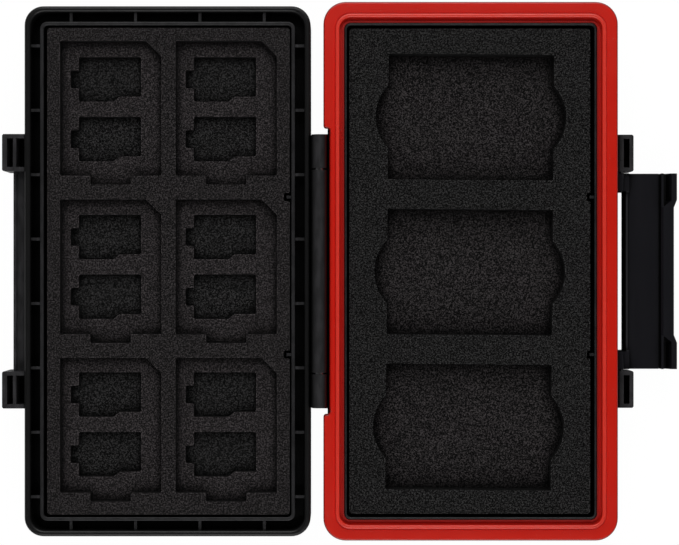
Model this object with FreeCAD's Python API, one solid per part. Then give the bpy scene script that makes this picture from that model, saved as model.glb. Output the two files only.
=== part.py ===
import FreeCAD
import Part
import os

# A hard case for memory cards, lying open flat with both halves on the table.
# Millimetres. The hinge runs along Y, the lid is on the -X side and the base on
# the +X side. The table is z = 0 and the origin is under the middle of the case.

# Shell halves
shell_width = 69.0
shell_length = 127.9
shell_depth = 12.4
floor_thickness = 1.8
corner_radius = 4.6
corner_shrink = 0.77  # radius lost for each millimetre further in
bottom_round = 2.4
closing_gap = 0.2  # between the two rims of the shut case
panel_border = 9.0  # plain edge round the sunk panel of each outer face
panel_depth = 0.5
panel_corner = 4.0

# Double-walled rim
rim_width = 4.65
outer_wall = 1.5
lid_inner_wall = 0.9
base_inner_wall = 0.6
inner_wall_drop = 0.3
channel_depth = 5.6
rim_round = 0.7
ledge_round = 0.25
inner_wall_round = 0.25
rib_thickness = 0.7
rib_pitch = 15.55
rib_drop = 0.95

# Red rim gasket of the base
flange_thickness = 1.4
flange_overhang = 1.0
flange_round = 0.45
skirt_drop = 0.9
tongue_depth = 2.5
tongue_rib_gap = 0.3
bead_inset = 1.9
bead_width = 1.0
bead_rise = 0.9
bead_round = 0.42
bead_corner = 3.7
groove_width = 0.2
groove_depth = 0.3
valley_depth = 0.8
lip_width = 0.4
lip_drop = 0.3
gasket_fit = 0.05
relief_inset = 0.5  # the gasket steps back here to pass the hinge
relief_end_gap = 1.6  # past each end of the hinge barrel
relief_round = 0.7

# Hinge
barrel_radius = 1.85
barrel_wall_gap = 0.2  # from the barrel to each shell wall
barrel_half_length = 32.9
middle_knuckle_half = 24.4
knuckle_gap = 0.35
hinge_pin_radius = 1.0
hinge_pin_end = 0.4  # the pin ends this far inside the barrel
pin_press_fit = 0.01
hinge_running_fit = 0.05
web_drop = 1.6
web_foot = 4.2
guard_drop = 5.0  # from the hinge axis to the ledge under the barrel
guard_reach = 1.3
guard_tip = 0.7
guard_root = 1.5
guard_overrun = 0.5

# Latch, catch rail and ears
latch_half_length = 23.8
latch_side_gap = 0.35
ear_length = 8.95
ear_bottom = 2.5
ear_end_wall = 1.0
ear_floor = 1.4
ear_round = 0.5
lid_ear_reach = 5.4
lid_ear_drop = 0.3
lid_ear_slot = 2.0
lid_ear_divider = 0.77
lid_ear_outer_wall = 1.16
base_ear_reach = 5.13
base_ear_gap = 0.2  # below the skirt of the gasket
base_ear_inner_wall = 2.75
base_ear_outer_wall = 0.98
catch_reach = 3.03
catch_bottom = 6.6
catch_thickness = 2.4
catch_lip_width = 0.7
catch_lip_height = 0.8
catch_gap = 0.15  # between the hook and the catch rail of the shut case
catch_side_gap = 0.26
latch_pin_radius = 0.6
latch_pin_seat = 2.3  # length held in each ear
latch_pin_reach = 3.6  # length inside each latch arm
latch_pin_end_gap = 0.2
latch_running_fit = 0.05
eye_radius = 1.3
eye_wall_gap = 0.5
eye_skirt_gap = 0.6
arm_length = 4.6
arm_neck = 2.5
arm_neck_top = 0.2
plate_thickness = 1.4
roll_start = 0.9  # from the pivot to the rolled edge of the plate
roll_radius = 0.93
roll_sink = 0.35
hook_overlap = 1.29
hook_depth = 3.1
hook_half_length = 15.5
hook_chamfer = 0.5
hook_round = 0.35
foot_groove = 0.45
foot_groove_depth = 0.8
lug_extra = 0.75
lug_taper = 1.9
trough_inset = 0.55
trough_width = 1.95
trough_floor = 0.85
trough_depth = 2.0
trough_start = 0.4  # past the middle length of the hook
trough_run_in = 1.3
trough_shallow = 0.3

# Foam and adhesive
lid_foam_gap = 0.55
base_foam_gap = 0.74
foam_shift = 0.2  # towards the hinge
foam_corner = 0.8
foam_drop = 0.5
adhesive_thickness = 0.2
adhesive_inset = 1.0
nub_thickness = 0.7
nub_reach = 1.15
nub_drop = 0.3
nub_places = (17.9, -20.1)
notch_clearance = 0.6

# Large card pockets in the base foam
large_card_width = 38.5
large_card_length = 29.6
large_card_clearance = 0.7
large_pocket_extra = 0.7  # more room lengthways for lifting the card
large_pocket_depth = 4.6
large_pocket_gap = 7.1
large_pocket_shift = -0.2
large_pocket_turn = -0.48  # degrees, the die lay a little askew
scoop_radius = 11.0
scoop_depth = 3.05
scoop_blend = 1.5

# Full-size card pockets in the upper lid foam
card_width = 24.0
card_length = 32.0
card_side_room = 0.4
card_end_room = 0.5
card_depth = 2.6
card_corner_cut = 3.7
card_column_gap = 3.5
card_row_gap = 3.6
card_tab_width = 9.7
card_tab_depth = 2.15

# Small card pockets in the middle lid foam
small_card_length = 15.05
small_card_width = 10.8
small_card_depth = 2.2
small_card_inset = 4.2
small_card_gap = 3.7
small_card_shoulder = 8.4
small_card_slope = 1.4
small_card_step = 1.2
small_tab_width = 4.3
small_tab_depth = 2.0

lap = 0.3  # how far joined portions of one moulding run into each other
tiny = 0.001
lid = -1
base = 1

# Heights and places that follow from the sizes above
hinge_offset = barrel_radius + barrel_wall_gap
hinge_z = shell_depth + closing_gap / 2
channel_floor = shell_depth - channel_depth
inner_top = shell_depth - inner_wall_drop
ledge = shell_depth - flange_thickness
tongue_bottom = ledge - tongue_depth
skirt_bottom = ledge - skirt_drop
above = shell_depth + bead_rise + 1
foam_floor = floor_thickness + adhesive_thickness
foam_top = shell_depth - foam_drop
ear_start = latch_half_length + latch_side_gap
pivot_offset = eye_radius + eye_wall_gap
pivot_z = skirt_bottom - eye_skirt_gap - eye_radius
hook_face = 2 * hinge_z - catch_bottom + catch_gap - pivot_z
plate_drop = catch_reach + catch_side_gap - pivot_offset
hook_rise = catch_side_gap + hook_overlap
latch_reach = hook_face + hook_depth + lug_extra
left_reach = hinge_offset + shell_width + lid_ear_reach
right_reach = hinge_offset + shell_width + pivot_offset + latch_reach
hinge_x = (left_reach - right_reach) / 2
pivot_x = hinge_x + hinge_offset + shell_width + pivot_offset


def point(x, y, z):
    return FreeCAD.Vector(x, y, z)


def near_x(side, inset):
    """X of a line this far inside the wall that faces the hinge."""
    return hinge_x + side * (hinge_offset + inset)


def far_x(side, inset):
    """X of a line this far inside the wall away from the hinge."""
    return hinge_x + side * (hinge_offset + shell_width - inset)


def middle_x(side):
    return hinge_x + side * (hinge_offset + shell_width / 2)


def block(x_a, x_b, y_a, y_b, z_a, z_b):
    low = point(min(x_a, x_b), min(y_a, y_b), min(z_a, z_b))
    return Part.makeBox(abs(x_b - x_a), abs(y_b - y_a), abs(z_b - z_a), low)


def rod(radius, x, z, y_a, y_b):
    """A round bar along Y."""
    return Part.makeCylinder(radius, abs(y_b - y_a), point(x, min(y_a, y_b), z), point(0, 1, 0))


def plan_prism(outline, z_a, z_b):
    """An outline of (x, y) corners raised from z_a to z_b."""
    corners = [point(x, y, z_a) for x, y in outline]
    face = Part.Face(Part.makePolygon(corners + corners[:1]))
    return face.extrude(point(0, 0, z_b - z_a))


def side_prism(outline, y_a, y_b):
    """An outline of (x, z) corners drawn out along Y."""
    corners = [point(x, y_a, z) for x, z in outline]
    face = Part.Face(Part.makePolygon(corners + corners[:1]))
    return face.extrude(point(0, y_b - y_a, 0))


def upright_edges(shape):
    flat = [e for e in shape.Edges if e.BoundBox.XLength < tiny and e.BoundBox.YLength < tiny]
    return [e for e in flat if e.BoundBox.ZLength > tiny]


def level_edges(shape, z):
    low = [e for e in shape.Edges if abs(e.BoundBox.ZMin - z) < tiny]
    return [e for e in low if abs(e.BoundBox.ZMax - z) < tiny]


def round_within(radius, wall):
    """The radius, or the most that two roundings leave room for on a wall."""
    return min(radius, 0.45 * wall)


def rounded_block(x_a, x_b, y_half, z_a, z_b, radius):
    solid = block(x_a, x_b, -y_half, y_half, z_a, z_b)
    return solid.makeFillet(radius, upright_edges(solid))


def inner_wall(side):
    """Thickness of the rim's inner wall."""
    return lid_inner_wall if side == lid else base_inner_wall


def slab(side, inset, z_a, z_b, radius=0):
    """The plan of one half, drawn in by the inset, with the corners of the shell or a given radius."""
    y_half = shell_length / 2 - inset
    corner = radius or corner_radius - corner_shrink * inset
    return rounded_block(near_x(side, inset), far_x(side, inset), y_half, z_a, z_b, corner)


def ring(side, outer_inset, inner_inset, z_a, z_b):
    return slab(side, outer_inset, z_a, z_b).cut(slab(side, inner_inset, z_a, z_b))


def spread(count, pitch):
    """Evenly spaced places about zero."""
    return [(k - (count - 1) / 2) * pitch for k in range(count)]


def rib_places(side_length):
    """As many ribs as the straight run between two corners takes."""
    straight = side_length - 2 * corner_radius
    return spread(int(straight / rib_pitch) + 1, rib_pitch)


def rim_ribs(side, top):
    """Cross ribs that tie the two walls of the rim together."""
    outer = outer_wall - lap
    inner = rim_width - inner_wall(side) + lap
    half = rib_thickness / 2
    foot = channel_floor - lap
    ribs = []
    for y in rib_places(shell_length):
        for place in (near_x, far_x):
            x_outer = place(side, outer)
            x_inner = place(side, inner)
            ribs.append(block(x_outer, x_inner, y - half, y + half, foot, top))
    for along in rib_places(shell_width):
        x = middle_x(side) + along
        for end in (-1, 1):
            y_outer = end * (shell_length / 2 - outer)
            y_inner = end * (shell_length / 2 - inner)
            ribs.append(block(x - half, x + half, y_outer, y_inner, foot, top))
    return ribs


def right_wall(side):
    """X of the cavity wall on the +X side of a half."""
    return max(near_x(side, rim_width), far_x(side, rim_width))


def foam_nubs(side):
    """Small upright ribs that key into notches of the foam."""
    root = right_wall(side) + lap
    tip = right_wall(side) - nub_reach
    half = nub_thickness / 2
    foot = floor_thickness - lap
    top = inner_top - nub_drop
    return [block(root, tip, y - half, y + half, foot, top) for y in nub_places]


def tray(side, outer_top, outer_round, rib_top):
    """One moulded half without its hinge, ears and catch."""
    foot = slab(side, 0, 0, channel_floor)
    outer = ring(side, 0, outer_wall, channel_floor, outer_top)
    inner = ring(side, rim_width - inner_wall(side), rim_width, channel_floor, inner_top)
    body = foot.fuse([outer, inner]).removeSplitter()
    body = body.cut(slab(side, rim_width, floor_thickness, above))
    body = body.makeFillet(round_within(outer_round, outer_wall), level_edges(body, outer_top))
    body = body.makeFillet(round_within(inner_wall_round, inner_wall(side)), level_edges(body, inner_top))
    body = body.makeFillet(bottom_round, level_edges(body, 0))
    panel_near = near_x(side, panel_border)
    panel_far = far_x(side, panel_border)
    panel_half = shell_length / 2 - panel_border
    panel = rounded_block(panel_near, panel_far, panel_half, -1, panel_depth, panel_corner)
    return body.cut(panel).fuse(rim_ribs(side, rib_top) + foam_nubs(side))


def knuckle(side, y_a, y_b):
    """A length of hinge barrel on a sloping web."""
    wall = near_x(side, lap)
    shoulder = hinge_z - web_drop
    outline = [
        (wall, shoulder),
        (hinge_x, shoulder),
        (hinge_x, hinge_z - barrel_radius),
        (near_x(side, 0), hinge_z - web_foot),
        (wall, hinge_z - web_foot),
    ]
    return rod(barrel_radius, hinge_x, hinge_z, y_a, y_b).fuse(side_prism(outline, y_a, y_b))


def hinge_guard(side, y_a, y_b):
    """A ledge under the other half's knuckle that closes the gap beside the barrel."""
    wall = near_x(side, lap)
    tip = near_x(side, -guard_reach)
    top = hinge_z - guard_drop
    outline = [
        (wall, top),
        (tip, top),
        (tip, top - guard_tip),
        (near_x(side, 0), top - guard_root),
        (wall, top - guard_root),
    ]
    return side_prism(outline, y_a, y_b)


def ear(side, end, reach, top, hollows):
    """A hollow ear beside the latch, with slots given as distances from the wall."""
    y_a = end * ear_start
    y_b = end * (ear_start + ear_length)
    tip = far_x(side, -reach)
    body = block(far_x(side, lap), tip, y_a, y_b, ear_bottom, top)
    tip_edges = [e for e in upright_edges(body) if abs(e.BoundBox.XMin - tip) < tiny]
    body = body.makeFillet(ear_round, tip_edges)
    inset = end * ear_end_wall
    for begin, finish in hollows:
        x_a = far_x(side, -begin)
        x_b = far_x(side, -finish)
        body = body.cut(block(x_a, x_b, y_a + inset, y_b - inset, ear_bottom + ear_floor, top + 1))
    return body


def make_lid_shell():
    outer_slot_start = lid_ear_slot + lid_ear_divider
    outer_slot_end = lid_ear_reach - lid_ear_outer_wall
    hollows = [(0, lid_ear_slot), (outer_slot_start, outer_slot_end)]
    ear_top = shell_depth - lid_ear_drop
    ears = [ear(lid, end, lid_ear_reach, ear_top, hollows) for end in (-1, 1)]
    half = ear_start + lap
    rail_top = catch_bottom + catch_thickness
    rail_edge = far_x(lid, -catch_reach)
    lip_edge = far_x(lid, catch_lip_width - catch_reach)
    rail = block(far_x(lid, lap), rail_edge, -half, half, catch_bottom, rail_top)
    lip = block(lip_edge, rail_edge, -half, half, catch_bottom, rail_top + catch_lip_height)
    inner_end = middle_knuckle_half + knuckle_gap
    knuckles = [
        knuckle(lid, -barrel_half_length, -inner_end),
        knuckle(lid, inner_end, barrel_half_length),
    ]
    guard = hinge_guard(lid, -inner_end - guard_overrun, inner_end + guard_overrun)
    body = tray(lid, shell_depth, rim_round, shell_depth - rib_drop)
    body = body.fuse(ears + [rail, lip, guard] + knuckles)
    bore_radius = hinge_pin_radius + hinge_running_fit
    bore = rod(bore_radius, hinge_x, hinge_z, -barrel_half_length - 1, barrel_half_length + 1)
    return body.cut(bore).removeSplitter()


def make_base_shell():
    ear_top = skirt_bottom - base_ear_gap
    hollows = [(base_ear_inner_wall, base_ear_reach - base_ear_outer_wall)]
    ears = [ear(base, end, base_ear_reach, ear_top, hollows) for end in (-1, 1)]
    seat_end = ear_start + latch_pin_seat + latch_pin_end_gap
    middle = knuckle(base, -middle_knuckle_half, middle_knuckle_half)
    guard_start = middle_knuckle_half - guard_overrun
    guard_end = barrel_half_length + guard_overrun
    guards = [hinge_guard(base, end * guard_start, end * guard_end) for end in (-1, 1)]
    body = tray(base, ledge, ledge_round, tongue_bottom - tongue_rib_gap)
    body = body.fuse(ears + guards + [middle])
    bore_radius = hinge_pin_radius + pin_press_fit
    bores = [rod(bore_radius, hinge_x, hinge_z, -barrel_half_length, barrel_half_length)]
    for end in (-1, 1):
        seat_radius = latch_pin_radius + pin_press_fit
        bores.append(rod(seat_radius, pivot_x, pivot_z, end * (ear_start - 1), end * seat_end))
    return body.cut(bores).removeSplitter()


def bead_ring(outer_inset, inner_inset, z_a, z_b):
    """A ring of the gasket with the rounder corners of its bead."""
    outer = slab(base, outer_inset, z_a, z_b, bead_corner + bead_inset - outer_inset)
    inner = slab(base, inner_inset, z_a, z_b, bead_corner + bead_inset - inner_inset)
    return outer.cut(inner)


def make_rim_gasket():
    inner = rim_width - base_inner_wall - gasket_fit
    flange = ring(base, -flange_overhang, inner, ledge, shell_depth)
    skirt = ring(base, -flange_overhang, -gasket_fit, skirt_bottom, ledge)
    body = flange.fuse(skirt).removeSplitter()
    outside = near_x(base, -flange_overhang - 1)
    inside = near_x(base, relief_inset)
    relief_half = barrel_half_length + relief_end_gap
    body = body.cut(block(outside, inside, -relief_half, relief_half, 0, above))
    at_relief = [e for e in upright_edges(body) if abs(abs(e.BoundBox.YMin) - relief_half) < tiny]
    step_faces = (near_x(base, -flange_overhang), inside)
    steps = [e for e in at_relief if min(abs(e.BoundBox.XMin - x) for x in step_faces) < tiny]
    body = body.makeFillet(round_within(relief_round, flange_overhang + relief_inset), steps)
    top_face = [f for f in body.Faces if f.BoundBox.ZMin > shell_depth - tiny][0]
    body = body.makeFillet(flange_round, top_face.OuterWire.Edges)
    tongue = ring(base, outer_wall + gasket_fit, inner, tongue_bottom, ledge)
    bead_end = bead_inset + bead_width
    bead = bead_ring(bead_inset, bead_end, ledge, shell_depth + bead_rise)
    bead = bead.makeFillet(round_within(bead_round, bead_width), level_edges(bead, shell_depth + bead_rise))
    groove = bead_ring(bead_inset - groove_width, bead_inset, shell_depth - groove_depth, above)
    valley_radius = bead_corner + bead_inset - bead_end
    valley = slab(base, bead_end, shell_depth - valley_depth, above, valley_radius)
    valley = valley.cut(slab(base, inner - lip_width, shell_depth - valley_depth, above))
    lip_trim = ring(base, inner - lip_width, inner + lap, shell_depth - lip_drop, above)
    return body.cut([groove, valley, lip_trim]).fuse([tongue, bead]).removeSplitter()


def lug_trough(end, hook_x, bar_top):
    """A deep groove in one end of the hook that runs in from a shallow start."""
    steep = hook_x + trough_inset
    begin = end * (hook_half_length + trough_start)
    deep = end * (hook_half_length + trough_start + trough_run_in)
    size = trough_shallow / trough_depth
    sections = []
    for y, scale in ((begin, size), (deep, 1)):
        outline = [
            (steep, bar_top + lap),
            (steep, bar_top - trough_depth * scale),
            (steep + trough_floor * scale, bar_top - trough_depth * scale),
            (steep + trough_width * scale, bar_top),
            (steep + trough_width * scale, bar_top + lap),
        ]
        corners = [point(x, y, z) for x, z in outline]
        sections.append(Part.makePolygon(corners + corners[:1]))
    run_in = Part.makeLoft(sections, True, True)
    straight = Part.Face(sections[1]).extrude(point(0, end * (latch_half_length + 1) - deep, 0))
    return [run_in, straight]


def make_latch():
    plate_top = pivot_z - plate_drop
    plate_bottom = plate_top - plate_thickness
    bar_top = plate_top + hook_rise
    hook_x = pivot_x + hook_face
    bar_x = hook_x + hook_depth
    tip_x = pivot_x + latch_reach
    length = latch_half_length
    roll_x = pivot_x + roll_start + roll_radius
    roll = rod(roll_radius, roll_x, plate_top - roll_sink, -length, length)
    plate = block(roll_x, hook_x + lap, -length, length, plate_bottom, plate_top)
    taper = hook_half_length + lug_taper
    outline = [
        (hook_x, -length),
        (tip_x, -length),
        (tip_x, -taper),
        (bar_x, -hook_half_length),
        (bar_x, hook_half_length),
        (tip_x, taper),
        (tip_x, length),
        (hook_x, length),
    ]
    bar = plan_prism(outline, plate_bottom, bar_top)
    rims = level_edges(bar, plate_bottom) + level_edges(bar, bar_top)
    outer_edges = [e for e in rims if e.BoundBox.XMin > hook_x + tiny]
    bar = bar.makeFillet(hook_round, outer_edges)
    slope = [(hook_x, bar_top), (hook_x + hook_chamfer, bar_top), (hook_x, bar_top - hook_chamfer)]
    bar = bar.cut(side_prism(slope, -hook_half_length, hook_half_length))
    arms = []
    groove_floor = plate_top - foot_groove_depth
    cuts = [block(hook_x - foot_groove, hook_x, -length - 1, length + 1, groove_floor, bar_top)]
    for end in (-1, 1):
        y_outer = end * length
        y_inner = end * (length - arm_length)
        eye = rod(eye_radius, pivot_x, pivot_z, y_inner, y_outer)
        neck = block(pivot_x, pivot_x + arm_neck, y_inner, y_outer, plate_bottom, pivot_z + arm_neck_top)
        arms.extend([eye, neck])
        cuts.extend(lug_trough(end, hook_x, bar_top))
        bore_end = end * (length - latch_pin_reach + latch_side_gap - latch_pin_end_gap)
        cuts.append(rod(latch_pin_radius + latch_running_fit, pivot_x, pivot_z, bore_end, y_outer + end))
    return plate.fuse([roll, bar] + arms).cut(cuts).removeSplitter()


def make_hinge_pin():
    half = barrel_half_length - hinge_pin_end
    return rod(hinge_pin_radius, hinge_x, hinge_z, -half, half)


def make_latch_pins():
    inner_end = ear_start - latch_pin_reach
    outer_end = ear_start + latch_pin_seat
    pins = [rod(latch_pin_radius, pivot_x, pivot_z, end * inner_end, end * outer_end) for end in (-1, 1)]
    return Part.makeCompound(pins)


def foam_middle(side):
    return middle_x(side) - side * foam_shift


def foam_size(side):
    """Width and length of a full sheet of foam."""
    inset = rim_width + (lid_foam_gap if side == lid else base_foam_gap)
    return shell_width - 2 * inset, shell_length - 2 * inset


def plain_sheet(side, inset, z_a, z_b):
    """A sheet in the plan of the foam, drawn in by the inset."""
    width, length = foam_size(side)
    middle = foam_middle(side)
    half = width / 2 - inset
    return rounded_block(middle - half, middle + half, length / 2 - inset, z_a, z_b, foam_corner)


def foam_sheet(side, z_a, z_b):
    """A full-size layer of foam with its two notches."""
    sheet = plain_sheet(side, 0, z_a, z_b)
    wall = right_wall(side)
    half = nub_thickness / 2 + notch_clearance
    depth = nub_reach + notch_clearance
    return sheet.cut([block(wall, wall - depth, y - half, y + half, z_a, z_b) for y in nub_places])


def adhesive_sheet(side):
    return plain_sheet(side, adhesive_inset, floor_thickness, foam_floor)


def large_pocket(x, y, z_a, z_b):
    """A pocket for a large card, with a rounded finger scoop at both sides."""
    half_x = (large_card_width + large_card_clearance + large_pocket_extra) / 2
    half_y = (large_card_length + large_card_clearance) / 2
    room = block(x - half_x, x + half_x, y - half_y, y + half_y, z_a, z_b)
    shift = half_x + scoop_depth - scoop_radius
    up = point(0, 0, 1)
    centres = [point(x + end * shift, y, z_a) for end in (-1, 1)]
    scoops = [Part.makeCylinder(scoop_radius, z_b - z_a, centre, up) for centre in centres]
    pocket = room.fuse(scoops).removeSplitter()
    joints = [e for e in upright_edges(pocket) if abs(e.BoundBox.YMin - y) < half_y - tiny]
    return pocket.makeFillet(scoop_blend, joints)


def card_pocket(x, y, z_a, z_b):
    """A pocket for a full-size card with its cut corner and a finger tab."""
    left = x - (card_width + card_side_room) / 2
    right = x + (card_width + card_side_room) / 2
    bottom = y - (card_length + card_end_room) / 2
    top = y + (card_length + card_end_room) / 2
    outline = [
        (left, bottom),
        (x - card_tab_width / 2, bottom),
        (x - card_tab_width / 2, bottom - card_tab_depth),
        (x + card_tab_width / 2, bottom - card_tab_depth),
        (x + card_tab_width / 2, bottom),
        (right, bottom),
        (right, top - card_corner_cut),
        (right - card_corner_cut, top),
        (left, top),
    ]
    return plan_prism(outline, z_a, z_b)


def small_pocket(left, bottom, z_a, z_b):
    """A pocket for a small card with its stepped edge and a finger tab."""
    right = left + small_card_length
    top = bottom + small_card_width
    tab_low = bottom + (small_card_width - small_tab_width) / 2
    tab_high = tab_low + small_tab_width
    shoulder = left + small_card_shoulder
    outline = [
        (left, bottom),
        (shoulder, bottom),
        (shoulder + small_card_slope, bottom + small_card_step),
        (right, bottom + small_card_step),
        (right, top),
        (left, top),
        (left, tab_high),
        (left - small_tab_depth, tab_high),
        (left - small_tab_depth, tab_low),
        (left, tab_low),
    ]
    return plan_prism(outline, z_a, z_b)


def card_places():
    """Centres of the full-size card pockets in the lid."""
    width, length = foam_size(lid)
    column_pitch = card_width + card_side_room + card_column_gap
    row_pitch = card_length + card_end_room + card_tab_depth + card_row_gap
    columns = spread(int(width / column_pitch), column_pitch)
    rows = spread(int(length / row_pitch), row_pitch)
    return [(foam_middle(lid) + x, y + card_tab_depth / 2) for y in rows for x in columns]


def make_lid_foam():
    """Upper, middle and backing layer of the lid foam."""
    card_floor = foam_top - card_depth
    small_floor = card_floor - small_card_depth
    small_pitch = small_card_width + small_card_gap
    card_rooms = []
    small_rooms = []
    for x, y in card_places():
        card_rooms.append(card_pocket(x, y, card_floor, foam_top))
        left = x - (card_width + card_side_room) / 2 + small_card_inset
        for along in spread(int((card_length + small_card_gap) / small_pitch), small_pitch):
            bottom = y + along - small_card_width / 2
            small_rooms.append(small_pocket(left, bottom, small_floor, card_floor))
    upper = foam_sheet(lid, card_floor, foam_top).cut(card_rooms)
    middle = foam_sheet(lid, small_floor, card_floor).cut(small_rooms)
    backing = foam_sheet(lid, foam_floor, small_floor)
    return upper, middle, backing


def make_base_foam():
    """Upper and backing layer of the base foam."""
    pocket_floor = foam_top - large_pocket_depth
    pitch = large_card_length + large_card_clearance + large_pocket_gap
    length = foam_size(base)[1]
    rows = [y + large_pocket_shift for y in spread(int(length / pitch), pitch)]
    rooms = [large_pocket(foam_middle(base), y, pocket_floor, foam_top) for y in rows]
    for room in rooms:
        room.rotate(point(foam_middle(base), large_pocket_shift, 0), point(0, 0, 1), large_pocket_turn)
    upper = foam_sheet(base, pocket_floor, foam_top).cut(rooms)
    backing = foam_sheet(base, foam_floor, pocket_floor)
    return upper, backing


lid_upper, lid_middle, lid_backing = make_lid_foam()
base_upper, base_backing = make_base_foam()
nodes = {
    "base_shell": make_base_shell(),
    "rim_gasket": make_rim_gasket(),
    "base_foam_pockets": base_upper,
    "base_foam_backing": base_backing,
    "base_adhesive_sheet": adhesive_sheet(base),
    "lid_shell": make_lid_shell(),
    "lid_foam_card_pockets": lid_upper,
    "lid_foam_small_pockets": lid_middle,
    "lid_foam_backing": lid_backing,
    "lid_adhesive_sheet": adhesive_sheet(lid),
    "hinge_pin": make_hinge_pin(),
    "latch": make_latch(),
    "latch_pins": make_latch_pins(),
}

os.makedirs("parts", exist_ok=True)
for name, shape in nodes.items():
    shape.exportStep("parts/" + name + ".step")
    box = shape.BoundBox
    low = (round(box.XMin, 2), round(box.YMin, 2), round(box.ZMin, 2))
    high = (round(box.XMax, 2), round(box.YMax, 2), round(box.ZMax, 2))
    print(name, len(shape.Solids), "solids", round(shape.Volume, 1), "mm3", shape.isValid(), low, high)
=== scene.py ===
# %% [markdown]
# # A hard case for memory cards, lying open
# The case is two moulded trays joined by a pin hinge, with a red seal round the base, a swinging latch
# and die-cut foam in both halves. The moulded pieces come ready from the CAD model, which fixes every
# size. This lesson adds what a CAD model lacks: the camera, the light, the finish of each material and
# the soft foam. The model is loaded first, because everything else is placed on it.

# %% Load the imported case
import math

import bmesh
import bpy
from mathutils import Matrix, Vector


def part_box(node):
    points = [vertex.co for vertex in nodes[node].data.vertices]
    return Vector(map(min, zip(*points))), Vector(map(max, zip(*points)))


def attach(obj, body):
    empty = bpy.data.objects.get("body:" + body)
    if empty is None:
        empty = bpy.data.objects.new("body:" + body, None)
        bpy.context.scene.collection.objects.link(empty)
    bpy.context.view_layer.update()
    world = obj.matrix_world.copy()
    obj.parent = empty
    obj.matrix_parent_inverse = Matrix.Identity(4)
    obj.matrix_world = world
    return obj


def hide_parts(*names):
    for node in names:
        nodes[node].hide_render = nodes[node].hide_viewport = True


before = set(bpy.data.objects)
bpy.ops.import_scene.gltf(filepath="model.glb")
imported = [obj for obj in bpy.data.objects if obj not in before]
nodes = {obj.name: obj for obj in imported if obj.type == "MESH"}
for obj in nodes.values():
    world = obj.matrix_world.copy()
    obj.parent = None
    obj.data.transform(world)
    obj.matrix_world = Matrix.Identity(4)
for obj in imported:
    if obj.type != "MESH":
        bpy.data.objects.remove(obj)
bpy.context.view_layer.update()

mm = 0.001
print("pieces from the CAD model:", sorted(nodes))

# %% [markdown]
# ## Camera
# The photograph looks straight down, as from a copy stand. The pockets for small cards, which lie
# 2.6 mm deeper than the pockets around them, are drawn 0.6 % closer together, so the camera hangs about
# 0.45 m above the rims. The width that it takes in is stated at that height, and the focal length
# follows from the width and the distance.

# %% Camera above the open case
rim_height = 12.4 * mm
view_distance = 0.45
view_width = 163.6 * mm
view_place = (-0.375 * mm, -0.30 * mm)
sensor_width = 36

camera_data = bpy.data.cameras.new("copy_stand_camera")
camera_data.sensor_fit = "HORIZONTAL"
camera_data.sensor_width = sensor_width
camera_data.lens = sensor_width * view_distance / view_width
camera = bpy.data.objects.new("copy_stand_camera", camera_data)
camera.location = (*view_place, rim_height + view_distance)
scene = bpy.context.scene
scene.collection.objects.link(camera)
scene.camera = camera
scene.view_settings.view_transform = "Standard"
print("focal length in mm:", round(camera_data.lens, 1))

# %% [markdown]
# ## Shader maths
# A finish is a small network of nodes. Wiring each Math node by hand hides the idea, so a class wraps a
# node's output and lets plain arithmetic add the nodes: `1 - wear * 0.3` reads as it is meant. Every
# other node comes from one method, which sets the node's settings first and then its sockets.

# %% A wire that does arithmetic, and a maker of nodes
class Wire:
    """The output of a node. Arithmetic on it adds Math nodes."""

    def __init__(self, maker, socket):
        self.maker = maker
        self.socket = socket

    def also(self, name):
        """Another output of the same node."""
        return Wire(self.maker, self.socket.node.outputs[name])

    def __add__(self, other):
        return self.maker.sum("ADD", self, other)

    def __radd__(self, other):
        return self.maker.sum("ADD", other, self)

    def __sub__(self, other):
        return self.maker.sum("SUBTRACT", self, other)

    def __rsub__(self, other):
        return self.maker.sum("SUBTRACT", other, self)

    def __mul__(self, other):
        return self.maker.sum("MULTIPLY", self, other)

    def __rmul__(self, other):
        return self.maker.sum("MULTIPLY", other, self)


class NodeMaker:
    """Adds nodes to the tree of a material or of the world."""

    def __init__(self, tree):
        self.tree = tree

    def node(self, kind, settings=None, sockets=None, out=0):
        made = self.tree.nodes.new("ShaderNode" + kind)
        for name, value in (settings or {}).items():
            setattr(made, name, value)
        for name, value in (sockets or {}).items():
            self.plug(made.inputs[name], value)
        return Wire(self, made.outputs[out])

    def plug(self, socket, value):
        if isinstance(value, Wire):
            self.tree.links.new(value.socket, socket)
        else:
            socket.default_value = value

    def sum(self, operation, first, second):
        return self.node("Math", {"operation": operation}, {0: first, 1: second})

    def size(self, value):
        """The value without its sign."""
        return self.node("Math", {"operation": "ABSOLUTE"}, {0: value})

    def step(self, value, low, high):
        """0 below low, 1 above high, and a smooth rise between."""
        sockets = {"Value": value, "From Min": low, "From Max": high}
        return self.node("MapRange", {"interpolation_type": "SMOOTHSTEP"}, sockets)

    def openness(self, reach, low=0.45, high=0.95):
        """1 on open faces, and 0 in corners and slots and beside walls of this reach."""
        nearby = self.node("AmbientOcclusion", {"samples": 8}, {"Distance": reach}, "AO")
        return self.step(nearby, low, high)


print("shader maths ready")

# %% [markdown]
# ## Light
# The foam pockets have soft dark bands along their back and front edges and narrow ones at the sides,
# and only the rims along those two edges shine. So two strong soft boxes stand behind and in front of
# the case, as on a copy stand, and two weak ones without glare at its sides. The sky is dark overhead,
# where the camera hangs, and to the left and right, which keeps black plastic black, and is pale low at
# the back and the front. Together they light a level surface at a plain level, so a colour renders
# about as it is written.

# %% Sky and soft boxes
overhead_sky = 0.03
low_sky = 0.10
low_sky_at_ends = 0.55
box_size = 0.5
end_distance, end_height = 0.48, 0.47
side_distance, side_height = 0.55, 0.42

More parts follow.
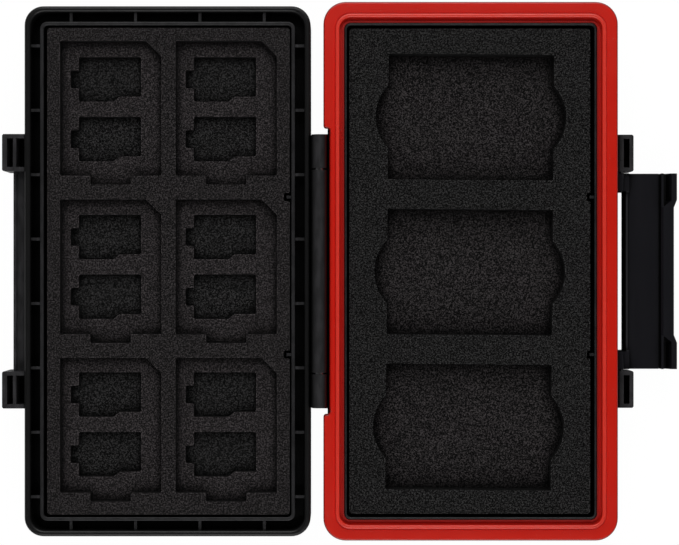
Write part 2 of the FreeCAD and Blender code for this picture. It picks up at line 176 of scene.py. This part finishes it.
world = bpy.data.worlds.new("soft_room")
scene.world = world
world.use_nodes = True
sky = NodeMaker(world.node_tree)
direction = sky.node("TexCoord", out="Generated")
height = sky.node("SeparateXYZ", sockets={"Vector": direction}, out="Z")
low_down = 1 - sky.node("Clamp", sockets={"Value": height})
at_ends = sky.size(height.also("Y"))
background = world.node_tree.nodes["Background"]
sky.plug(background.inputs["Color"], (1, 1, 1, 1))
sky.plug(background.inputs["Strength"], overhead_sky + low_down * (low_sky + at_ends * low_sky_at_ends))


def soft_box(name, place, watts, glare=True):
    """A square lamp that faces the case. Without glare it lights as through a polarising film."""
    lamp_data = bpy.data.lights.new(name, "AREA")
    lamp_data.shape = "SQUARE"
    lamp_data.size = box_size
    lamp_data.energy = watts
    lamp = bpy.data.objects.new(name, lamp_data)
    lamp.location = place
    lamp.rotation_euler = lamp.location.to_track_quat("Z", "Y").to_euler()
    lamp.visible_camera = False
    lamp.visible_glossy = glare
    scene.collection.objects.link(lamp)


soft_box("soft_box_back", (0, end_distance, end_height), 2.65)
soft_box("soft_box_front", (0, -end_distance, end_height), 2.15)
soft_box("soft_box_right", (side_distance, 0, side_height), 0.55, glare=False)
soft_box("soft_box_left", (-side_distance, 0, side_height), 0.45, glare=False)
print("sky and four soft boxes")

# %% [markdown]
# ## Floor
# The background is plain white. A floor lit to pure white would need more light than the case can take,
# so the camera, and what mirrors the floor, sees it mostly as a white glow. Close to the case the
# mirrored glow fades, as a real floor does in a contact shadow, or the gaps beside the hinge would
# shine. The rest stays an ordinary matte floor that takes the soft shadow of the case and throws light
# back up at its sides.

# %% A pale floor
floor_radius = 20
floor_drop = 0.05 * mm
contact_reach = 25 * mm
glow_share = 0.95

floor_mesh = bpy.data.meshes.new("pale_floor")
bm = bmesh.new()
bmesh.ops.create_circle(bm, cap_ends=True, segments=96, radius=floor_radius)
bmesh.ops.translate(bm, verts=bm.verts, vec=(0, 0, -floor_drop))
bm.to_mesh(floor_mesh)
bm.free()
floor = bpy.data.objects.new("pale_floor", floor_mesh)
scene.collection.objects.link(floor)

floor_paint = bpy.data.materials.new("pale_floor")
floor_paint.use_nodes = True
paint = NodeMaker(floor_paint.node_tree)
ray = paint.node("LightPath", out="Is Camera Ray")
mirrored = ray.also("Is Glossy Ray") + ray.also("Is Transmission Ray")
seen = ray + mirrored * paint.openness(contact_reach, 0.6, 0.98)
glow = paint.node("Clamp", sockets={"Value": seen}) * glow_share
matte = paint.node("BsdfDiffuse", sockets={"Color": (0.6, 0.6, 0.6, 1)})
white = paint.node("Emission", sockets={"Color": (1, 1, 1, 1), "Strength": 1.03})
both = paint.node("MixShader", sockets={0: glow, 1: matte, 2: white})
paint.plug(floor_paint.node_tree.nodes["Material Output"].inputs["Surface"], both)
floor_mesh.materials.append(floor_paint)
print("floor", 2 * floor_radius, "m across")

# %% [markdown]
# ## A base for every finish
# Each finish starts from a Principled shader and reads the place on the piece in metres, so a grain of
# 0.3 mm is written as 0.3 mm. Its helpers make patterns, which are noise of a stated grain and cells of
# a stated size, masks, which rise where a measure passes an edge, and mixes of two colours.

# %% Finish, with its patterns, masks and mixes
class Finish(NodeMaker):
    """A material whose patterns are measured on the piece itself."""

    def __init__(self, name):
        self.material = bpy.data.materials.new(name)
        self.material.use_nodes = True
        super().__init__(self.material.node_tree)
        self.shader = self.tree.nodes["Principled BSDF"]
        self.place = self.node("TexCoord", out="Object")

    def set(self, **sockets):
        for name, value in sockets.items():
            self.plug(self.shader.inputs[name.replace("_", " ")], value)

    def axis(self, name, of=None):
        """One coordinate of the place on the piece, or of another vector."""
        return self.node("SeparateXYZ", sockets={"Vector": of or self.place}, out=name)

    def noise(self, grain, detail=2.0, where=None):
        """Soft noise from 0 to 1 with lumps of about this size."""
        sockets = {"Vector": where or self.place, "Scale": 1 / grain, "Detail": detail}
        return self.node("TexNoise", sockets=sockets, out="Fac")

    def cells(self, width):
        """The distance from the middles of cells of about this width, and a random value for each."""
        sockets = {"Vector": self.place, "Scale": 1 / width}
        distance = self.node("TexVoronoi", sockets=sockets, out="Distance")
        return distance, self.axis("X", distance.also("Color"))

    def stretched(self, x, y, z, turn=0.0):
        """The place on the piece, drawn out along each axis and turned about Z, in degrees."""
        sockets = {"Vector": self.place, "Rotation": (0, 0, math.radians(turn)), "Scale": (x, y, z)}
        return self.node("Mapping", sockets=sockets)

    def past(self, value, edge, blur):
        """A mask that is 1 where the value is past an edge, which is blurred over this width."""
        return self.step(value, edge - blur / 2, edge + blur / 2)

    def within(self, value, low, high, blur):
        """A mask that is 1 where the value lies between two edges."""
        return self.past(value, low, blur) - self.past(value, high, blur)

    def mix(self, mask, first, second):
        return self.node("Mix", {"data_type": "RGBA"}, {0: mask, 6: first, 7: second}, 2)

    def dim(self, colour, share):
        return self.node("VectorMath", {"operation": "SCALE"}, {0: colour, "Scale": share})

    def bump(self, height, depth, strength):
        """Normals for a relief of this depth in metres."""
        return self.node("Bump", sockets={"Height": height, "Distance": depth, "Strength": strength})


def dress(node, finish):
    """Gives a CAD piece a finish."""
    nodes[node].material_slots[0].material = finish.material
    print(node, "wears", finish.material.name)


def middle(node, axis):
    """The middle of a CAD piece's box along one axis."""
    low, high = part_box(node)
    return (low[axis] + high[axis]) / 2


# %% [markdown]
# ## Black moulded shells
# Both trays are black plastic from a spark-eroded mould: a fine even grain that scatters light, so the
# black stays matte. The grain is a bump of about 0.2 mm. Handling polishes and greys the raised rims
# and the lower edges that rest on tables, so a mask by height lightens them in patches. The ears and
# the catch rail outside each half are greyed in patches, as wear from the latch and as a painted sheen.
# The crest of the hinge barrel gets a painted highlight that fades towards its sides, and the inner
# walls and the ribs in the lid's channel are painted lighter as highlights. A painted shadow darkens
# the crease between the base's ears and the seal. Faint scuffs are noise drawn out into streaks in two
# directions.
# Masks are measured from the hinge, because the two halves mirror each other there.

# %% Where the shells are worn, and where shade and highlights are painted
near_side = 2.05 * mm
far_side = 71.05 * mm
half_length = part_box("lid_shell")[1].y
wall_inset = 3 * mm
rib_top = rim_height - 0.95 * mm
rail_height = 7.25 * mm
knuckle_half = 1 * mm
flange_side = far_side + 1 * mm

shell = Finish("shell_plastic_grained")
across = shell.axis("X")
height = across.also("Z")
from_hinge = shell.size(across - middle("hinge_pin", 0))
from_middle = shell.size(across.also("Y"))
on_lid = 1 - shell.past(across, 0, 2 * mm)
patches = shell.noise(9 * mm, 3)
rims = shell.past(height, rim_height - 0.25 * mm, 0.5 * mm)
feet = 1 - shell.past(height, 0.9 * mm, 1.4 * mm)
worn = (rims + feet) * shell.step(patches, 0.35, 0.7)
outside = shell.past(from_hinge, far_side + 0.15 * mm, 0.2 * mm)
latched = outside * shell.past(height, rail_height, 1.5 * mm)
# Painted highlight on the crest of the hinge barrel, fading towards its sides.
barrel_highlight = 1 - shell.past(from_hinge, knuckle_half, 1.6 * mm)
# Painted light on the ribs in the lid's channel and on the inner walls.
rib_light = shell.within(height, rib_top - 0.1 * mm, rib_top + 0.1 * mm, 0.1 * mm)
inner_wall_highlight = shell.within(from_hinge, near_side + wall_inset, far_side - wall_inset, 0.2 * mm)
inner_wall_highlight = inner_wall_highlight * (1 - shell.past(from_middle, half_length - wall_inset, 0.2 * mm))
# Painted shadow in the crease between the base's ears and the seal.
crease_shadow = latched * (1 - on_lid) * (1 - shell.past(from_hinge, flange_side + 0.7 * mm, 0.3 * mm))
print("masks for rims, feet, ears, knuckles, ribs and walls")

# %% [markdown]
# The masks mix three colours into the black. Slots and corners get little light in a narrow case, and
# a painted shade dims them further by the openness of each spot, apart from the catch rail on the lid
# and the ribs, which are kept lighter as painted light. A painted shadow darkens the crease by the
# base's ears nearly to black.

# %% Shell plastic
deep_black = (0.0046, 0.0046, 0.0048, 1)
soft_black = (0.0066, 0.0065, 0.0066, 1)
worn_grey = (0.018, 0.0175, 0.018, 1)
rubbed_and_highlight_grey = (0.030, 0.0293, 0.0312, 1)

grain = shell.noise(0.22 * mm, 2)
streaks = shell.noise(1, 3, shell.stretched(60, 2200, 1500, 24))
more_streaks = shell.noise(1, 3, shell.stretched(2000, 55, 1500, -11))
scuffs = shell.step(streaks, 0.66, 0.74) + shell.step(more_streaks, 0.67, 0.75)
smears = shell.step(shell.noise(1, 3, shell.stretched(700, 260, 700)), 0.35, 0.65)
# Painted sheen and highlights: the rail, the barrel's crest, the inner walls and the ribs are mixed
# towards grey, and so are the ears, as wear from the latch.
rubbing_and_sheen = (latched + barrel_highlight * 0.9 + inner_wall_highlight * 0.6 + rib_light * 0.5) * (0.5 + smears * 0.5)
shade = shell.mix(patches, deep_black, soft_black)
shade = shell.mix(worn * 0.12 + scuffs * 0.25, shade, worn_grey)
shade = shell.mix(rubbing_and_sheen, shade, rubbed_and_highlight_grey)
# Painted shade: the colour dims where a spot is closed in, less on the lid's rail and the ribs, and
# nearly to black in the crease.
shade_openness = shell.openness(3 * mm)
shade_openness = shade_openness + (latched * on_lid + rib_light) * (1 - shade_openness) * 0.8
shade_openness = shade_openness * (1 - crease_shadow)
shell.set(
    Base_Color=shell.dim(shade, 0.05 + shade_openness * 0.95),
    Roughness=0.18 + shade_openness * 0.11 + grain * 0.08 - worn * 0.04 - scuffs * 0.04,
    Specular_IOR_Level=0.22,
    Normal=shell.bump(grain, 0.006 * mm, 0.6),
)
dress("lid_shell", shell)
dress("base_shell", shell)

# %% [markdown]
# ## Latch
# The latch is pressed by a finger each time, so its mould is polished finer than the shell's and the
# surface is satin. Plastic that flowed into the mould from one end leaves faint marks along the length,
# made here from noise drawn out along the latch. The rolled edge between the latch's arms is painted
# nearly black as shade and made glossier, and a painted highlight lies as a pale line where the roll
# meets the plate. Both are measured from the pivot. Closed-in places are dimmed as painted shade too.

# %% Latch plastic
arm_start = 19.45 * mm
roll_width = 1.825 * mm
highlight_width = 0.475 * mm
flow_dark = (0.0051, 0.0050, 0.0066, 1)
flow_pale = (0.0077, 0.0075, 0.0096, 1)
roll_highlight_grey = (0.030, 0.0295, 0.032, 1)

satin = Finish("latch_plastic_satin")
flow = satin.noise(1, 3, satin.stretched(700, 45, 700))
fine = satin.noise(0.16 * mm, 2)
smears = satin.noise(6 * mm, 3)
across = satin.axis("X")
from_pivot = across - middle("latch_pins", 0)
between_arms = 1 - satin.past(satin.size(across.also("Y")), arm_start, 0.3 * mm)
# Painted shade: the rolled edge between the arms is dimmed nearly to black and made glossier.
roll_shade = between_arms * (1 - satin.past(from_pivot, roll_width, 0.25 * mm))
# Painted highlight: a pale line where the roll meets the plate.
highlight_start = roll_width + 0.05 * mm
highlight_end = highlight_start + highlight_width
roll_highlight = satin.past(from_pivot, highlight_start, 0.15 * mm) - satin.past(from_pivot, highlight_end, 0.4 * mm)
shade = satin.mix(flow, flow_dark, flow_pale)
shade = satin.mix(between_arms * roll_highlight * 0.6, shade, roll_highlight_grey)
# Painted shade: the colour dims where the latch is closed in, and on the rolled edge.
satin.set(
    Base_Color=satin.dim(shade, (0.1 + satin.openness(2.5 * mm) * 0.9) * (1 - roll_shade * 0.95)),
    Roughness=0.31 + flow * 0.06 + smears * 0.08 - roll_shade * 0.28,
    Specular_IOR_Level=0.15,
    Normal=satin.bump(fine + flow * 2, 0.004 * mm, 0.6),
)
dress("latch", satin)

# %% [markdown]
# ## Red seal
# The seal is moulded silicone rubber, red through and through. Silicone is a little uneven in tone, has
# a soft sheen and holds dust, which shows as small pale specks. The specks come from a cell pattern:
# each cell has a random value, and only the few highest carry dust near their middle. A painted shade
# darkens the open edges below the flange's upper face, outside and at the lip. In the groove beside the
# bead, painted light makes the red brighter, and in the valley inside the bead a painted shade deepens
# it. The bead's crest is painted paler as a highlight. All of them are told apart by their level above
# or below the flange, and by how open they lie.

# %% Silicone rubber
flange_round = 0.475 * mm
groove_level = -0.4 * mm
valley_level = -0.6 * mm
crest_level = 0.675 * mm
red, warm_red = (0.49, 0.0068, 0.0012, 1), (0.55, 0.0108, 0.0026, 1)
dust_pink = (0.50, 0.16, 0.13, 1)
edge_shade_red = (0.12, 0.0035, 0.0025, 1)
groove_light_red = (0.80, 0.006, 0.001, 1)
valley_shade_red = (0.27, 0.002, 0.0005, 1)
crest_highlight_red = (0.66, 0.036, 0.022, 1)

rubber = Finish("seal_rubber_silicone")
clouds = rubber.noise(5 * mm, 3)
skin = rubber.noise(0.18 * mm, 2)
specks, lot = rubber.cells(0.8 * mm)
dust = rubber.step(lot, 0.86, 0.97) * (1 - rubber.step(specks, 0.12, 0.30))
level = rubber.axis("Z") - rim_height
shade_openness = rubber.openness(1.2 * mm)
# Painted shade on the open edges below the flange's upper face.
upper_face = rubber.past(level, -0.035 * mm, 0.07 * mm)
rounding = rubber.past(level, -flange_round, 0.15 * mm) * (1 - upper_face)
# Painted light brightens the red in the groove beside the bead.
groove_light = rubber.past(level, groove_level, 0.2 * mm) * (1 - shade_openness)
# Painted shade deepens the red in the valley inside the bead.
valley = (1 - rubber.past(level, valley_level, 0.3 * mm)) * (1 - shade_openness)
# Painted highlight on the bead's crest.
crest = rubber.past(level, crest_level, 0.25 * mm)
shade = rubber.mix(clouds, red, warm_red)
shade = rubber.mix(dust * 0.22, shade, dust_pink)
shade = rubber.mix(rounding * shade_openness * 0.75, shade, edge_shade_red)
shade = rubber.mix(groove_light * 0.8, shade, groove_light_red)
shade = rubber.mix(valley * 0.5, shade, valley_shade_red)
shade = rubber.mix(crest * 0.8, shade, crest_highlight_red)
rubber.set(
    Base_Color=shade,
    Roughness=0.23 + clouds * 0.06 + skin * 0.08 + dust * 0.2,
    Specular_IOR_Level=0.44,
    Normal=rubber.bump(skin, 0.006 * mm, 0.6),
)
dress("rim_gasket", rubber)

# %% [markdown]
# ## Steel pins
# The hinge pin and the two latch pins are drawn wire. Drawing leaves fine lines along the wire, so the
# roughness comes from noise drawn out along Y. The hinge pin is bright. The latch pins are blackened,
# and the black is worn a little where the latch turns on them.

# %% Drawn and blackened steel
def drawn_lines(finish):
    return finish.noise(1, 2, finish.stretched(9000, 160, 9000))


steel = Finish("pin_steel_drawn")
lines = drawn_lines(steel)
tarnish = steel.noise(1.5 * mm, 3)
steel.set(
    Base_Color=steel.mix(tarnish, (0.50, 0.50, 0.52, 1), (0.66, 0.66, 0.67, 1)),
    Metallic=1.0,
    Roughness=0.22 + lines * 0.16 + tarnish * 0.08,
    Normal=steel.bump(lines, 0.004 * mm, 0.5),
)
dress("hinge_pin", steel)

black = Finish("pin_steel_blackened")
lines = drawn_lines(black)
rubbing_and_sheen = black.step(black.noise(0.9 * mm, 3), 0.58, 0.74)
black.set(
    Base_Color=black.mix(rubbing_and_sheen, (0.010, 0.010, 0.011, 1), (0.045, 0.045, 0.047, 1)),
    Metallic=rubbing_and_sheen * 0.7,
    Roughness=0.48 + lines * 0.12 - rubbing_and_sheen * 0.1,
    Specular_IOR_Level=0.25,
    Normal=black.bump(lines, 0.004 * mm, 0.5),
)
dress("latch_pins", black)

# %% [markdown]
# ## Adhesive
# A double-sided sheet holds each foam stack to the floor of its tray. It is covered, apart from its
# edge, and is a pale film with slightly uneven glue.

# %% Adhesive film
film = Finish("adhesive_film")
glue = film.noise(2.5 * mm, 4)
film.set(
    Base_Color=film.mix(glue, (0.60, 0.57, 0.48, 1), (0.74, 0.72, 0.64, 1)),
    Roughness=0.45 + glue * 0.25,
    Normal=film.bump(glue, 0.03 * mm, 0.5),
)
dress("base_adhesive_sheet", film)
dress("lid_adhesive_sheet", film)

# %% [markdown]
# ## Foam finish
# Closed-cell foam is a mass of small bubbles, and the sheet is split from a block, so the blade opens
# bubbles all over the face. Each opened bubble is a tiny dish: a cell pattern gives the dishes, its
# random values vary their tone, and soft noise gathers them into paler and darker tufts. The upright
# cuts of the die are painted darker than the split faces as shade, and the rolled edge at their top is
# painted lighter as a highlight. Corners and the floors beside pocket walls are dimmed as painted
# shade, by how open they lie. The layers differ a little in tone and in how coarse they look, so the
# finish takes its colour, its contrast and the reach of its painted shade from outside.

# %% Foam material
def foam_finish(name, colour, contrast, reach):
    foam = Finish(name)
    bubbles, lot = foam.cells(0.2 * mm)
    tufts = foam.noise(0.36 * mm, 0.3)
    clouds = foam.noise(7 * mm, 3)
    tone = foam.step(tufts * 0.68 + lot * 0.28 + clouds * 0.04, 0.28, 0.74)
    pale = tuple(v * (1.2 + 2.5 * contrast) for v in colour) + (1,)
    deep = tuple(v * (1.2 - 1.1 * contrast) for v in colour) + (1,)
    # Painted shade on the upright cuts and a painted highlight on the rolled edge, from the upward
    # share of the normal.
    upright = foam.axis("Z", foam.place.also("Normal"))
    edge_highlight = foam.step(upright, 0.5, 0.85) - foam.step(upright, 0.95, 0.995)
    cut_shade_and_edge_light = 0.45 + foam.step(upright, 0.3, 0.8) * 0.55 + edge_highlight * 0.8
    # Painted shade: the colour dims where the foam is closed in.
    shade_openness = 0.25 + foam.openness(reach, 0.5, 0.95) * 0.75
    foam.set(
        Base_Color=foam.dim(foam.mix(tone * tone, deep, pale), cut_shade_and_edge_light * shade_openness),
        Roughness=0.90 + tufts * 0.08,
        Specular_IOR_Level=0.12,
        Normal=foam.bump(bubbles + tufts * 0.5, 0.035 * mm, 0.5),
    )
    return foam


card_foam = foam_finish("lid_foam_card_layer", (0.0124, 0.0111, 0.0114), 0.87, 2.4 * mm)
small_foam = foam_finish("lid_foam_small_layer", (0.0162, 0.0142, 0.0147), 0.82, 2.4 * mm)
lid_floor = foam_finish("lid_foam_backing_layer", (0.0093, 0.0090, 0.0091), 1.00, 1.6 * mm)
base_foam = foam_finish("base_foam_pocket_layer", (0.0090, 0.0088, 0.0088), 1.05, 2.8 * mm)
base_floor = foam_finish("base_foam_backing_layer", (0.0120, 0.0107, 0.0109), 1.02, 2.8 * mm)
print("five foam finishes")

# %% [markdown]
# ## Outlines for die-cut foam
# The foam is cut from sheet with steel rule dies, so each layer is a flat outline with holes, given a
# thickness. An outline is a ring of corners, in mm. A vertex bevel rounds each corner, as a bent rule
# does. Every sheet has two notches at its right edge, which fit over small ribs of the shell.

# %% Draw rings of corners
sheet_corner = 0.8
notch_places = (-20.1, 17.9)
notch_half = 0.95
notch_corner = 0.25


def round_corners(bm, points, radius, segments=4):
    bmesh.ops.bevel(
        bm,
        geom=points,
        affect="VERTICES",
        offset=radius * mm,
        segments=segments,
        profile=0.5,
        material=-1,
    )


def ring(bm, corners, z):
    """A closed outline of (x, y, radius) corners."""
    points = [bm.verts.new((x * mm, y * mm, z)) for x, y, radius in corners]
    for first, second in zip(points, points[1:] + points[:1]):
        bm.edges.new((first, second))
    for radius in sorted({corner[2] for corner in corners}):
        sharp = [point for point, corner in zip(points, corners) if corner[2] == radius]
        round_corners(bm, sharp, radius)


def sheet_edge(bm, node, notch_depth, z):
    """The outline of the sheet that stands for a CAD piece, with its two notches."""
    low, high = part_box(node)
    left, right, back = low.x / mm, high.x / mm, high.y / mm
    corners = [(left, -back, sheet_corner), (right, -back, sheet_corner)]
    for y in notch_places:
        for inset, way in ((0, -1), (notch_depth, -1), (notch_depth, 1), (0, 1)):
            corners.append((right - inset, y + way * notch_half, notch_corner))
    ring(bm, corners + [(right, back, sheet_corner), (left, back, sheet_corner)], z)


print("outline helpers ready")

# %% [markdown]
# ## From outline to foam
# The rings are filled with triangles, which leaves the holes open, and the sheet is drawn down to its
# thickness. A blade presses foam down before it cuts, so the upper edges come out softly rounded: three
# insets, each a little higher than the last, roll the edge over. The piece stands for its CAD node and
# moves with its half of the case.

# %% Make one layer of foam
edge_roll = 0.2 * mm


def roll_edges(bm, faces):
    """Raises the faces in three insets that follow a quarter circle."""
    turns = [math.radians(angle) for angle in (0, 30, 60, 90)]
    for before, after in zip(turns, turns[1:]):
        bmesh.ops.inset_region(
            bm,
            faces=faces,
            thickness=edge_roll * (math.cos(before) - math.cos(after)),
            depth=edge_roll * (math.sin(after) - math.sin(before)),
            use_boundary=True,
            use_even_offset=True,
        )


def foam_layer(name, node, body, draw, finish):
    """Foam in the box of a CAD piece, with the outline that draw puts at a height."""
    low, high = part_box(node)
    bm = bmesh.new()
    draw(bm, high.z - edge_roll)
    bmesh.ops.triangle_fill(bm, use_beauty=True, edges=bm.edges[:], normal=(0, 0, 1))
    top = bm.faces[:]
    drawn = bmesh.ops.extrude_face_region(bm, geom=top)
    lower = [part for part in drawn["geom"] if isinstance(part, bmesh.types.BMVert)]
    bmesh.ops.translate(bm, verts=lower, vec=(0, 0, low.z - high.z + edge_roll))
    bmesh.ops.recalc_face_normals(bm, faces=bm.faces[:])
    roll_edges(bm, top)
    mesh = bpy.data.meshes.new(name)
    bm.to_mesh(mesh)
    bm.free()
    mesh.shade_smooth()
    mesh.set_sharp_from_angle(angle=math.radians(40))
    mesh.materials.append(finish.material)
    piece = bpy.data.objects.new(name, mesh)
    scene.collection.objects.link(piece)
    piece.modifiers.new("even_shading", "WEIGHTED_NORMAL").keep_sharp = True
    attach(piece, body)
    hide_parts(node)
    print(name, len(mesh.polygons), "faces")


# %% [markdown]
# ## Foam in the base
# A sheet with three pockets for large cards lies on a plain sheet that forms the pockets' floor. Each
# pocket has a finger scoop at two sides, and a vertex spun about the scoop's middle draws its arc. The
# die that cut the three pockets lay half a degree askew, so they are turned together before the sheet's
# edge is drawn.

# %% Base foam
pocket_half_width = 19.95
pocket_half_length = 15.15
pocket_corner = 0.4
pocket_pitch = 37.4
pocket_shift = -0.2
die_turn = math.radians(-0.48)
scoop_radius = 11.0
scoop_middle = 12.0
scoop_joint_radius = 0.5
scoop_joint_turn = 0.055
base_notch_depth = 0.81


def scooped_ring(bm, x, y, z):
    """A pocket for a large card: a box with a round scoop at both sides."""
    joint = math.acos((pocket_half_width - scoop_middle) / scoop_radius)
    rise = scoop_radius * math.sin(joint)
    start = joint - scoop_joint_turn
    arc_x = scoop_middle + scoop_radius * math.cos(start)
    arc_y = scoop_radius * math.sin(start)

    def corner(way, dx, dy):
        return bm.verts.new(((x + way * dx) * mm, (y + way * dy) * mm, z))

    outer, joints = [], []
    for way in (1, -1):
        upper = corner(way, pocket_half_width, pocket_half_length)
        enter = corner(way, pocket_half_width, rise)
        first = corner(way, arc_x, arc_y)
        centre = ((x + way * scoop_middle) * mm, y * mm, z)
        arc = bmesh.ops.spin(bm, geom=[first], cent=centre, axis=(0, 0, 1), angle=-2 * start, steps=26)
        last = [part for part in arc["geom_last"] if isinstance(part, bmesh.types.BMVert)][0]
        leave = corner(way, pocket_half_width, -rise)
        lower = corner(way, pocket_half_width, -pocket_half_length)
        for pair in ((upper, enter), (enter, first), (last, leave), (leave, lower)):
            bm.edges.new(pair)
        outer += [upper, lower]
        joints += [enter, leave]
    bm.edges.new((outer[1], outer[2]))
    bm.edges.new((outer[3], outer[0]))
    round_corners(bm, joints, scoop_joint_radius, segments=3)
    round_corners(bm, outer, pocket_corner)


def draw_base_pockets(bm, z):
    x = middle("base_foam_pockets", 0) / mm
    for row in (1, 0, -1):
        scooped_ring(bm, x, pocket_shift + row * pocket_pitch, z)
    askew = Matrix.Rotation(die_turn, 3, "Z")
    bmesh.ops.rotate(bm, verts=bm.verts[:], cent=(x * mm, pocket_shift * mm, z), matrix=askew)
    sheet_edge(bm, "base_foam_pockets", base_notch_depth, z)


def draw_base_backing(bm, z):
    sheet_edge(bm, "base_foam_backing", base_notch_depth, z)


foam_layer("base_pocket_foam", "base_foam_pockets", "base", draw_base_pockets, base_foam)
foam_layer("base_backing_foam", "base_foam_backing", "base", draw_base_backing, base_floor)

# %% [markdown]
# ## Foam in the lid
# Three sheets: the upper one has six pockets with one cut corner and a finger tab, the middle one has
# two pockets for small cards under each of them, and the last is plain. A small card has a stepped
# edge, which its pocket follows, and its finger tab is at the left. The outer corners of a pocket are
# cut a little rounder than those where its tab and its slopes begin.

# %% Pockets of the lid
outer_corner, inner_corner = pocket_corner, 0.3
card_half_width, card_half_length = 12.2, 16.25
card_cut = 3.7
card_tab_half, card_tab_depth = 4.85, 2.15
card_column_pitch, card_row_pitch = 27.9, 38.25
small_length, small_width = 15.05, 10.8
small_inset, small_gap = 4.2, 3.7
small_shoulder, small_slope, small_step = 8.4, 1.4, 1.2
small_tab_width, small_tab_depth = 4.3, 2.0


def card_corners(x, y):
    """A full-size card's pocket about its middle, with its cut corner and a finger tab."""
    left, right = x - card_half_width, x + card_half_width
    bottom, top = y - card_half_length, y + card_half_length
    return [
        (left, bottom, outer_corner),
        (x - card_tab_half, bottom, inner_corner),
        (x - card_tab_half, bottom - card_tab_depth, outer_corner),
        (x + card_tab_half, bottom - card_tab_depth, outer_corner),
        (x + card_tab_half, bottom, inner_corner),
        (right, bottom, outer_corner),
        (right, top - card_cut, inner_corner),
        (right - card_cut, top, inner_corner),
        (left, top, outer_corner),
    ]


def small_card_corners(left, bottom):
    """A small card's pocket from its lower left corner, with its stepped edge and a finger tab."""
    right, top = left + small_length, bottom + small_width
    tab_low = bottom + (small_width - small_tab_width) / 2
    tab_high = tab_low + small_tab_width
    return [
        (left, bottom, outer_corner),
        (left + small_shoulder, bottom, inner_corner),
        (left + small_shoulder + small_slope, bottom + small_step, inner_corner),
        (right, bottom + small_step, outer_corner),
        (right, top, outer_corner),
        (left, top, outer_corner),
        (left, tab_high, inner_corner),
        (left - small_tab_depth, tab_high, outer_corner),
        (left - small_tab_depth, tab_low, outer_corner),
        (left, tab_low, inner_corner),
    ]


print("pockets for two kinds of card")

# %% [markdown]
# The six pockets stand in two columns and three rows about the middle of the sheet. With its finger tab
# below, each pocket sits half a tab's depth above the middle of its row.

# %% Lid foam
lid_notch_depth = 1.4
lid_middle = middle("lid_foam_card_pockets", 0) / mm
card_places = [
    (lid_middle + side * card_column_pitch / 2, row * card_row_pitch + card_tab_depth / 2)
    for row in (1, 0, -1)
    for side in (-1, 1)
]


def draw_card_pockets(bm, z):
    sheet_edge(bm, "lid_foam_card_pockets", lid_notch_depth, z)
    for x, y in card_places:
        ring(bm, card_corners(x, y), z)


def draw_small_pockets(bm, z):
    sheet_edge(bm, "lid_foam_small_pockets", lid_notch_depth, z)
    for x, y in card_places:
        left = x - card_half_width + small_inset
        for bottom in (y - small_gap / 2 - small_width, y + small_gap / 2):
            ring(bm, small_card_corners(left, bottom), z)


def draw_lid_backing(bm, z):
    sheet_edge(bm, "lid_foam_backing", lid_notch_depth, z)


foam_layer("lid_card_foam", "lid_foam_card_pockets", "lid", draw_card_pockets, card_foam)
foam_layer(
    "lid_small_card_foam", "lid_foam_small_pockets", "lid", draw_small_pockets, small_foam
)
foam_layer("lid_backing_foam", "lid_foam_backing", "lid", draw_lid_backing, lid_floor)
